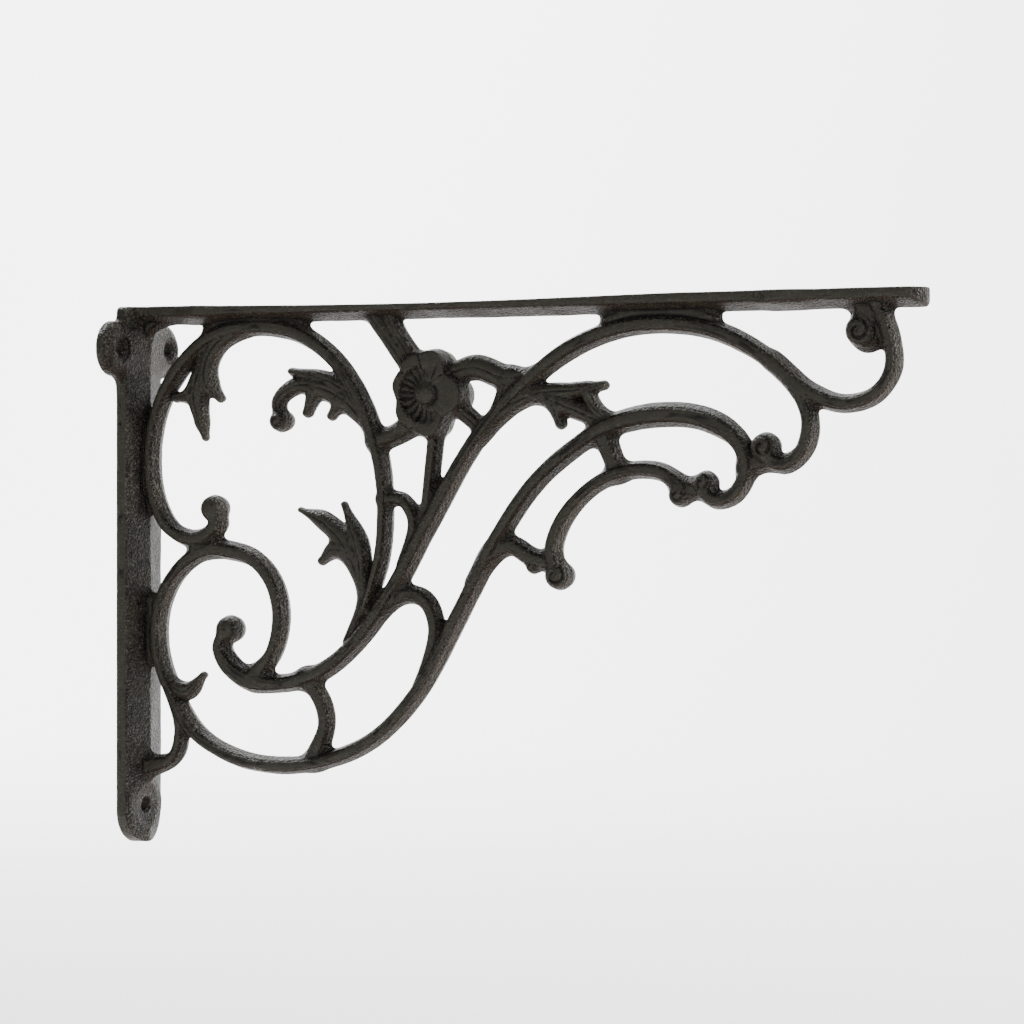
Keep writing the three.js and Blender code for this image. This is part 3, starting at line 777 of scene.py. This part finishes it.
def trim_to_faces():
    """Trims the casting to the plate's back, the arm's top with its dip, and its true size all round."""
    along = np.clip((grid_x - ARM_SAG_START) / ARM_SAG_LENGTH, 0, 1)
    sag = ARM_SAG * np.clip(np.sin(along * math.pi), 0, 1) ** ARM_SAG_POWER
    low = [value / MM + BOX_INSET for value in cad_low]
    high = [value / MM - BOX_INSET for value in cad_high]
    x = grid_x[:, None, None]
    z = grid_z[None, :, None]
    y = grid_y[None, None, :]
    np.maximum(field, low[0] - x, out=field)
    np.maximum(field, x - high[0], out=field)
    np.maximum(field, low[2] - z, out=field)
    np.maximum(field, z - (high[2] - sag[:, None, None]), out=field)
    np.maximum(field, low[1] - y, out=field)
    np.maximum(field, y - high[1], out=field)


def surface_mesh(name):
    """The zero surface of the field as a mesh, in metres."""
    volume = openvdb.FloatGrid(FAR)
    volume.copyFromArray(field)
    points, quads = volume.convertToQuads(isovalue=0.0)
    places = np.empty((len(points), 3), dtype=np.float32)
    places[:, 0] = (points[:, 0] * VOXEL + grid_x[0]) * MM
    places[:, 1] = (points[:, 2] * VOXEL + grid_y[0]) * MM
    places[:, 2] = (points[:, 1] * VOXEL + grid_z[0]) * MM
    corners = places[quads[:, :3]]
    area = np.cross(corners[:, 1] - corners[:, 0], corners[:, 2] - corners[:, 0])
    if (corners.mean(axis=1) * area).sum() < 0:
        quads = quads[:, ::-1]
    mesh = bpy.data.meshes.new(name)
    mesh.from_pydata(places.tolist(), [], quads.tolist())
    mesh.update()
    return mesh


def mark_hollows(mesh):
    """Notes on each point how hollow the surface is there: 1 in a crease, 0.5 where flat, 0 on an edge."""
    places = np.empty(len(mesh.vertices) * 3, dtype=np.float32)
    mesh.vertices.foreach_get("co", places)
    places = places.reshape(-1, 3) / MM
    steps = np.array([(i, j, k) for i in (-1, 0, 1) for j in (-1, 0, 1) for k in (-1, 0, 1) if i or j or k])
    steps = steps / np.linalg.norm(steps, axis=1)[:, None]
    limits = np.array(field.shape) - 1
    start = np.array([grid_x[0], grid_z[0], grid_y[0]])
    turns = []
    for reach in HOLLOW_REACHES:
        around = np.zeros(len(places), dtype=np.float32)
        for step in steps:
            cells = np.rint(((places + reach * step)[:, [0, 2, 1]] - start) / VOXEL).astype(int)
            cells = np.clip(cells, 0, limits)
            values = field[cells[:, 0], cells[:, 1], cells[:, 2]]
            around += np.clip(values, -reach, reach) / (reach * len(steps))
        turns.append(around)
    around = np.where(turns[0] < -HOLLOW_LEAST, np.minimum(*turns), turns[1])
    # The iron's colour reads this value for its painted crease shade and painted edge highlight
    hollow = mesh.attributes.new("hollow", "FLOAT", "POINT")
    hollow.data.foreach_set("value", np.clip(0.5 - 0.5 * around / HOLLOW_SWING, 0, 1).astype(np.float32))


def shape_casting():
    """Works out the whole bracket on the grid: members first, then the sand's skin, holes and flat faces."""
    wall_plate()
    foot_pad()
    foot_dish()
    ears()
    ear_necks()
    shelf_arm()
    arm_boss(WALL_BOSS_X)
    arm_boss(TIP_BOSS_X)
    big_ring()
    small_ring()
    lower_strand()
    main_strand()
    end_scroll()
    third_strand()
    links()
    leaves()
    flower()
    add_sand_waves()
    half = EAR_SCREW_SPACING / 2
    wall_hole(-half, 0, EAR_THICKNESS, ring_line=RING_LINE)
    wall_hole(half, 0, EAR_THICKNESS, ring_line=RING_LINE)
    wall_hole(0, SHELF_Z - PLATE_HEIGHT + FOOT_SCREW_RISE, FOOT_PAD_THICKNESS, FOOT_HOLE_MOUTH)
    arm_hole(WALL_BOSS_X)
    arm_hole(TIP_BOSS_X)
    trim_to_faces()


def thinned_mesh(name):
    """The casting's skin, with no more triangles than a piece may have."""
    rough = bpy.data.objects.new("casting_rough", surface_mesh("casting_rough"))
    bpy.context.scene.collection.objects.link(rough)
    triangles = 2 * len(rough.data.polygons)
    thin = rough.modifiers.new("fewer triangles", "DECIMATE")
    thin.ratio = min(1.0, MOST_TRIANGLES / triangles)
    graph = bpy.context.evaluated_depsgraph_get()
    mesh = bpy.data.meshes.new_from_object(rough.evaluated_get(graph))
    bpy.data.objects.remove(rough)
    mesh.name = name
    print("casting: rough", triangles, "kept", sum(len(p.vertices) - 2 for p in mesh.polygons))
    return mesh


def casting():
    """The whole bracket as one piece that stands in for the solid."""
    shape_casting()
    mesh = thinned_mesh("cast_bracket")
    for polygon in mesh.polygons:
        polygon.use_smooth = True
    mesh.set_sharp_from_angle(angle=math.radians(CREASE_ANGLE))
    mark_hollows(mesh)
    piece = bpy.data.objects.new("cast_bracket", mesh)
    bpy.context.scene.collection.objects.link(piece)
    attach(piece, "root")
    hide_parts("shelf_bracket")
    return piece


def ramp(nodes, joins, source, limits, values=(0, 1)):
    """Reads a value between two limits as another value between two values."""
    node = nodes.new("ShaderNodeMapRange")
    node.inputs["From Min"].default_value = limits[0]
    node.inputs["From Max"].default_value = limits[1]
    node.inputs["To Min"].default_value = values[0]
    node.inputs["To Max"].default_value = values[1]
    joins.new(source, node.inputs["Value"])
    return node.outputs["Result"]


def mix(nodes, joins, factor, first, second):
    """Mixes two colours, each a socket or a plain colour."""
    node = nodes.new("ShaderNodeMix")
    node.data_type = "RGBA"
    joins.new(factor, node.inputs[0])
    for socket, value in ((node.inputs[6], first), (node.inputs[7], second)):
        if isinstance(value, tuple):
            socket.default_value = value
        else:
            joins.new(value, socket)
    return node.outputs[2]


def calculate(nodes, joins, operation, first, second=None):
    """Works out one value from one or two others."""
    node = nodes.new("ShaderNodeMath")
    node.operation = operation
    for socket, value in zip(node.inputs, (first, second)):
        if isinstance(value, (int, float)):
            socket.default_value = value
        elif value is not None:
            joins.new(value, socket)
    return node.outputs[0]


def texture(nodes, joins, kind, place, scale, detail=None):
    """A pattern laid over the object, its scale counted per metre."""
    node = nodes.new(kind)
    node.inputs["Scale"].default_value = scale
    if detail is not None:
        node.inputs["Detail"].default_value = detail
    joins.new(place.outputs["Object"], node.inputs["Vector"])
    return node


# Colours of the iron
FACE_IRON = (0.0255, 0.024, 0.0182, 1)
DARK_IRON = (0.0075, 0.0065, 0.0048, 1)
SIDE_IRON = (0.019, 0.0165, 0.012, 1)
BROWN_IRON = (0.018, 0.0108, 0.0055, 1)
# Light specks of the sand's grain; the same colour is also the painted highlight along the edges
GRAIN_AND_EDGE_HIGHLIGHT_IRON = (0.052, 0.048, 0.039, 1)
# Painted shade: the near-black laid into creases and hollows, where shade falls
CREASE_SHADE = (0.0025, 0.0021, 0.0016, 1)

# Where each colour starts and where it is in full
RUBBED_FACING = (0.78, 0.96)
UNDER_FACING = (0.05, -0.5)
# Hollow values over which the painted crease shade comes in
CREASE_SHADE_HOLLOW = (0.58, 0.8)
# Hollow values over which the painted edge highlight comes in
EDGE_HIGHLIGHT_HOLLOW = (0.3, 0.05)
PATCH_NOISE = (0.35, 0.65)
SPECK_NOISE = (0.5, 0.62)

# How much of each colour shows where it is in full
UNDER_SHARE = 0.85
CREASE_SHADE_SHARE = 0.92
EDGE_HIGHLIGHT_SHARE = 0.35

# Grain and shine of the skin
PATCH_SCALE = 60
PEBBLE_SCALE = 1300
GRAIN_SCALE = 1150
PEBBLE_SHARE = 0.8
GRAIN_HEIGHT = 0.0012
SIDE_GRAIN = 1.0
FACE_GRAIN = 0.3
SPECULAR = 0.15
SHINE_NOISE = (0.3, 0.7)
ROUGHNESS = (0.36, 0.52)


def iron_colour(nodes, joins, facing, patch_noise, grain_noise, rubbed):
    """Grained sides, brown below, rubbed faces, a painted highlight along the edges and painted shade
    darkening the creases, one laid over the other.
    """
    under = ramp(nodes, joins, facing.outputs["Z"], UNDER_FACING, (0, UNDER_SHARE))
    hollow_for_painted_light = nodes.new("ShaderNodeAttribute")
    hollow_for_painted_light.attribute_name = "hollow"
    # Painted shade: the hollow value darkens the creases toward the near-black crease colour
    crease = ramp(nodes, joins, hollow_for_painted_light.outputs["Fac"], CREASE_SHADE_HOLLOW, (0, CREASE_SHADE_SHARE))
    # Painted highlight: the hollow value lightens convex edges
    edge = ramp(nodes, joins, hollow_for_painted_light.outputs["Fac"], EDGE_HIGHLIGHT_HOLLOW, (0, EDGE_HIGHLIGHT_SHARE))
    rough = calculate(nodes, joins, "SUBTRACT", 1.0, rubbed)
    patches = ramp(nodes, joins, patch_noise, PATCH_NOISE)
    specks = calculate(nodes, joins, "MULTIPLY", ramp(nodes, joins, grain_noise, SPECK_NOISE), rough)
    colour = mix(nodes, joins, patches, DARK_IRON, SIDE_IRON)
    colour = mix(nodes, joins, specks, colour, GRAIN_AND_EDGE_HIGHLIGHT_IRON)
    colour = mix(nodes, joins, under, colour, BROWN_IRON)
    colour = mix(nodes, joins, rubbed, colour, FACE_IRON)
    colour = mix(nodes, joins, edge, colour, GRAIN_AND_EDGE_HIGHLIGHT_IRON)
    return mix(nodes, joins, crease, colour, CREASE_SHADE)


def cast_iron():
    """Black-brown iron: faces rubbed smooth, sides left with the sand's grain, painted shade darkening the
    creases and a painted highlight along the edges.
    """
    material = bpy.data.materials.new("cast_iron")
    material.use_nodes = True
    nodes = material.node_tree.nodes
    joins = material.node_tree.links
    shader = nodes["Principled BSDF"]
    shader.inputs["Metallic"].default_value = 0.0
    shader.inputs["Specular IOR Level"].default_value = SPECULAR

    place = nodes.new("ShaderNodeTexCoord")
    facing = nodes.new("ShaderNodeSeparateXYZ")
    joins.new(place.outputs["Normal"], facing.inputs[0])
    sideways = calculate(nodes, joins, "ABSOLUTE", facing.outputs["Y"])
    rubbed = ramp(nodes, joins, sideways, RUBBED_FACING)
    broad = texture(nodes, joins, "ShaderNodeTexNoise", place, PATCH_SCALE, 4).outputs["Fac"]
    pebbles = texture(nodes, joins, "ShaderNodeTexVoronoi", place, PEBBLE_SCALE).outputs["Distance"]
    grain = texture(nodes, joins, "ShaderNodeTexNoise", place, GRAIN_SCALE, 2).outputs["Fac"]
    colour = iron_colour(nodes, joins, facing, broad, grain, rubbed)
    joins.new(colour, shader.inputs["Base Color"])

    height = calculate(nodes, joins, "MULTIPLY", pebbles, PEBBLE_SHARE)
    height = calculate(nodes, joins, "ADD", height, grain)
    bump = nodes.new("ShaderNodeBump")
    bump.inputs["Distance"].default_value = GRAIN_HEIGHT
    joins.new(ramp(nodes, joins, rubbed, (0, 1), (SIDE_GRAIN, FACE_GRAIN)), bump.inputs["Strength"])
    joins.new(height, bump.inputs["Height"])
    joins.new(bump.outputs["Normal"], shader.inputs["Normal"])
    joins.new(ramp(nodes, joins, broad, SHINE_NOISE, ROUGHNESS), shader.inputs["Roughness"])
    return material


# Camera that took the photo, fitted to its outline
CAMERA_PLACE = (0.6872, -1.0765, -0.0499)
CAMERA_TURN = 26.5
CAMERA_LENS = 125.2
CAMERA_SHIFT_Y = -0.0215
CAMERA_SENSOR = 36
CAMERA_NEAREST = 0.05
CAMERA_FARTHEST = 50


def camera():
    data = bpy.data.cameras.new("camera")
    data.lens = CAMERA_LENS
    data.sensor_width = CAMERA_SENSOR
    data.shift_y = CAMERA_SHIFT_Y
    data.clip_start = CAMERA_NEAREST
    data.clip_end = CAMERA_FARTHEST
    eye = bpy.data.objects.new("camera", data)
    eye.location = CAMERA_PLACE
    eye.rotation_euler = (math.radians(90), 0, math.radians(CAMERA_TURN))
    bpy.context.scene.collection.objects.link(eye)
    bpy.context.scene.camera = eye


# Floor sweep, in metres
FLOOR_HALF_WIDTH = 6.0
FLOOR_LEVEL = -0.26
FLOOR_FRONT = -3.0
FLOOR_BACK = 2.4
FLOOR_HEIGHT = 3.4
FLOOR_BEND = 0.9
FLOOR_STEPS = 12
FLOOR_WHITE = (0.93, 0.93, 0.93, 1)
FLOOR_ROUGHNESS = 0.9


def plain_floor():
    """A pale floor that sweeps up behind the bracket."""
    centre_y = FLOOR_BACK - FLOOR_BEND
    centre_z = FLOOR_LEVEL + FLOOR_BEND
    profile = [(FLOOR_FRONT, FLOOR_LEVEL)]
    for step in range(FLOOR_STEPS + 1):
        turn = math.radians(90 * step / FLOOR_STEPS)
        profile.append((centre_y + FLOOR_BEND * math.sin(turn), centre_z - FLOOR_BEND * math.cos(turn)))
    profile.append((FLOOR_BACK, FLOOR_HEIGHT))
    places = [(side * FLOOR_HALF_WIDTH, y, z) for y, z in profile for side in (-1, 1)]
    faces = [(2 * k, 2 * k + 1, 2 * k + 3, 2 * k + 2) for k in range(len(profile) - 1)]
    mesh = bpy.data.meshes.new("floor")
    mesh.from_pydata(places, [], faces)
    for polygon in mesh.polygons:
        polygon.use_smooth = True
    floor = bpy.data.objects.new("floor", mesh)
    bpy.context.scene.collection.objects.link(floor)
    material = bpy.data.materials.new("floor")
    material.use_nodes = True
    shader = material.node_tree.nodes["Principled BSDF"]
    shader.inputs["Base Color"].default_value = FLOOR_WHITE
    shader.inputs["Roughness"].default_value = FLOOR_ROUGHNESS
    mesh.materials.append(material)


# Studio lights as name, place, size in metres, power in watts and what they aim at
WORLD_STRENGTH = 0.2
SWEEP_MIDDLE = (-1.0, 2.3, 0.0)
BRACKET_MIDDLE = (0.14, 0.0, -0.06)
LIGHTS = [
    ("sweep left", (-1.5, 0.9, 1.8), (1.6, 0.8), 260, SWEEP_MIDDLE),
    ("rake", (1.85, 0.45, 0.5), (0.4, 0.6), 60, BRACKET_MIDDLE),
    ("glint", (1.5, 1.2, 0.6), (0.2, 0.3), 22, BRACKET_MIDDLE),
    ("key", (1.4, -1.5, 0.8), (0.35, 0.6), 8, BRACKET_MIDDLE),
    ("fill", (0.1, -2.0, 0.7), (0.8, 0.6), 10, BRACKET_MIDDLE),
]


def area_light(name, place, size, power, aim):
    data = bpy.data.lights.new(name, "AREA")
    data.shape = "RECTANGLE"
    data.size = size[0]
    data.size_y = size[1]
    data.energy = power
    lamp = bpy.data.objects.new(name, data)
    lamp.location = place
    lamp.rotation_mode = "QUATERNION"
    lamp.rotation_quaternion = (Vector(aim) - Vector(place)).to_track_quat("-Z", "Y")
    bpy.context.scene.collection.objects.link(lamp)


def studio():
    world = bpy.data.worlds.new("world")
    world.use_nodes = True
    background = world.node_tree.nodes["Background"]
    background.inputs["Color"].default_value = (1, 1, 1, 1)
    background.inputs["Strength"].default_value = WORLD_STRENGTH
    bpy.context.scene.world = world
    for name, place, size, power, aim in LIGHTS:
        area_light(name, place, size, power, aim)


piece = casting()
piece.data.materials.append(cast_iron())
plain_floor()
studio()
camera()
